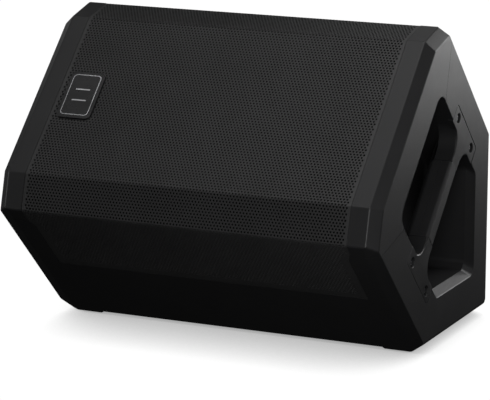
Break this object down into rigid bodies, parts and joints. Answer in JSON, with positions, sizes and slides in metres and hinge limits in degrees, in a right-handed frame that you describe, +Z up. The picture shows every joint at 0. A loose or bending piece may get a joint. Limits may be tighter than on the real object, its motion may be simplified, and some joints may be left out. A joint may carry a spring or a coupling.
{
  "type": "stage monitor wedge",
  "caption": "Moulded two-way active floor monitor with wrapped perforated grille, end handle, pole socket and rear amplifier panel.",
  "frame": {"origin": "on the floor, under the centre of the bounding box", "axes": "+X along the width towards the handle end, +Y to the back with the amplifier panel, +Z up"},
  "size_m": [0.5625, 0.4398, 0.4423],
  "materials": {
    "shell_plastic": "fine moulded grain",
    "handle_plastic": "satin",
    "grip_rubber": "soft satin",
    "foot_rubber": "matt",
    "seal_rubber": "matt",
    "grille_steel": "satin black coating",
    "foam": "open cell foam",
    "badge_plastic": "satin gloss",
    "badge_metal": "satin",
    "black_screws": "blackened",
    "bright_screws": "zinc plated",
    "socket_plastic": "satin",
    "wadding_fibre": "loose fibre",
    "basket_steel": "satin black",
    "cone_paper": "treated pulp",
    "copper": "varnished winding",
    "spider_cloth": "resin cloth",
    "plated_steel": "zinc plated",
    "ferrite": "matt ceramic",
    "diaphragm_metal": "bright",
    "panel_paint": "fine textured paint",
    "sink_aluminium": "black anodised",
    "board_laminate": "solder resist",
    "coil_wrap": "tape",
    "capacitor_sleeve": "shrink sleeve",
    "connector_plastic": "satin",
    "rocker_plastic": "gloss",
    "tab_metal": "plated",
    "knob_plastic": "satin with pale pointer",
    "button_plastic": "satin",
    "light_lens": "clear tinted",
    "lead_sheath": "sheath"
  },
  "bodies": {
    "cabinet": {"front_shell": "shell_plastic", "rear_shell": "shell_plastic", "shell_seal": "seal_rubber", "shell_screws": "black_screws", "grille": "grille_steel", "grille_foam": "foam", "badge_plate": "badge_plastic", "badge_inlay": "badge_metal", "handle_bar": "handle_plastic", "handle_grip": "grip_rubber", "handle_screws": "bright_screws", "pole_socket": "socket_plastic", "pole_screws": "black_screws", "floor_feet": "foot_rubber", "end_feet": "foot_rubber", "wadding": "wadding_fibre", "woofer_basket": "basket_steel", "woofer_gasket": "seal_rubber", "woofer_surround": "seal_rubber", "woofer_spider": "spider_cloth", "front_plate": "plated_steel", "woofer_magnet": "ferrite", "back_plate": "plated_steel", "woofer_screws": "black_screws", "horn": "socket_plastic", "horn_screws": "black_screws", "hf_motor": "ferrite", "hf_cap": "socket_plastic", "hf_bolts": "bright_screws", "amp_panel": "panel_paint", "panel_screws": "black_screws", "heat_sink": "sink_aluminium", "amp_cover": "plated_steel", "amp_board": "board_laminate", "supply_board": "board_laminate", "transformer": "coil_wrap", "capacitors": "capacitor_sleeve", "mains_inlet": "connector_plastic", "switch_frame": "connector_plastic", "input_socket": "connector_plastic", "line_socket": "connector_plastic", "link_socket": "connector_plastic", "control_board": "board_laminate", "status_lights": "light_lens", "contact_pins": "tab_metal", "driver_leads": "lead_sheath"},
    "cone": {"woofer_cone": "cone_paper", "dust_cap": "cone_paper", "voice_coil": "copper"},
    "diaphragm": {"hf_diaphragm": "diaphragm_metal"},
    "level knob": {"level_knob": "knob_plastic"},
    "treble knob": {"treble_knob": "knob_plastic"},
    "bass knob": {"bass_knob": "knob_plastic"},
    "filter knob": {"filter_knob": "knob_plastic"},
    "filter button": {"filter_button": "button_plastic"},
    "boost button": {"boost_button": "button_plastic"},
    "lift button": {"lift_button": "button_plastic"},
    "latch tab": {"latch_tab": "tab_metal"},
    "power rocker": {"power_rocker": "rocker_plastic"},
    "fuse drawer": {"fuse_drawer": "connector_plastic"}
  },
  "joints": [
    {"name": "cone_travel", "type": "slide", "parent": "cabinet", "child": "cone", "axis": [0, -0.7071, 0.7071], "range_m": [-0.004, 0.004], "stiffness_N_per_m": 3000, "deforming": ["woofer_surround", "woofer_spider"]},
    {"name": "diaphragm_travel", "type": "slide", "parent": "cabinet", "child": "diaphragm", "axis": [0, -0.7071, 0.7071], "range_m": [-0.0003, 0.0003], "stiffness_N_per_m": 500},
    {"name": "level_turn", "type": "hinge", "parent": "cabinet", "child": "level knob", "pos_m": [0.12925, 0.20492, 0.142], "axis": [0, 1, 0], "range_deg": [-150, 150]},
    {"name": "treble_turn", "type": "hinge", "parent": "cabinet", "child": "treble knob", "pos_m": [0.09325, 0.20492, 0.142], "axis": [0, 1, 0], "range_deg": [-150, 150]},
    {"name": "bass_turn", "type": "hinge", "parent": "cabinet", "child": "bass knob", "pos_m": [0.05725, 0.20492, 0.142], "axis": [0, 1, 0], "range_deg": [-150, 150]},
    {"name": "filter_turn", "type": "hinge", "parent": "cabinet", "child": "filter knob", "pos_m": [0.02125, 0.20492, 0.142], "axis": [0, 1, 0], "range_deg": [-150, 150]},
    {"name": "filter_press", "type": "slide", "parent": "cabinet", "child": "filter button", "axis": [0, -1, 0], "range_m": [0, 0.002], "stiffness_N_per_m": 300, "springref_m": -0.0005},
    {"name": "boost_press", "type": "slide", "parent": "cabinet", "child": "boost button", "axis": [0, -1, 0], "range_m": [0, 0.002], "stiffness_N_per_m": 300, "springref_m": -0.0005},
    {"name": "lift_press", "type": "slide", "parent": "cabinet", "child": "lift button", "axis": [0, -1, 0], "range_m": [0, 0.002], "stiffness_N_per_m": 300, "springref_m": -0.0005},
    {"name": "latch_press", "type": "slide", "parent": "cabinet", "child": "latch tab", "axis": [0, 0, -1], "range_m": [0, 0.0012], "stiffness_N_per_m": 400, "springref_m": -0.0005},
    {"name": "rocker_tilt", "type": "hinge", "parent": "cabinet", "child": "power rocker", "pos_m": [0.05325, 0.20172, 0.082], "axis": [-1, 0, 0], "range_deg": [0, 16]},
    {"name": "fuse_pull", "type": "slide", "parent": "cabinet", "child": "fuse drawer", "axis": [0, 1, 0], "range_m": [0, 0.014]}
  ]
}
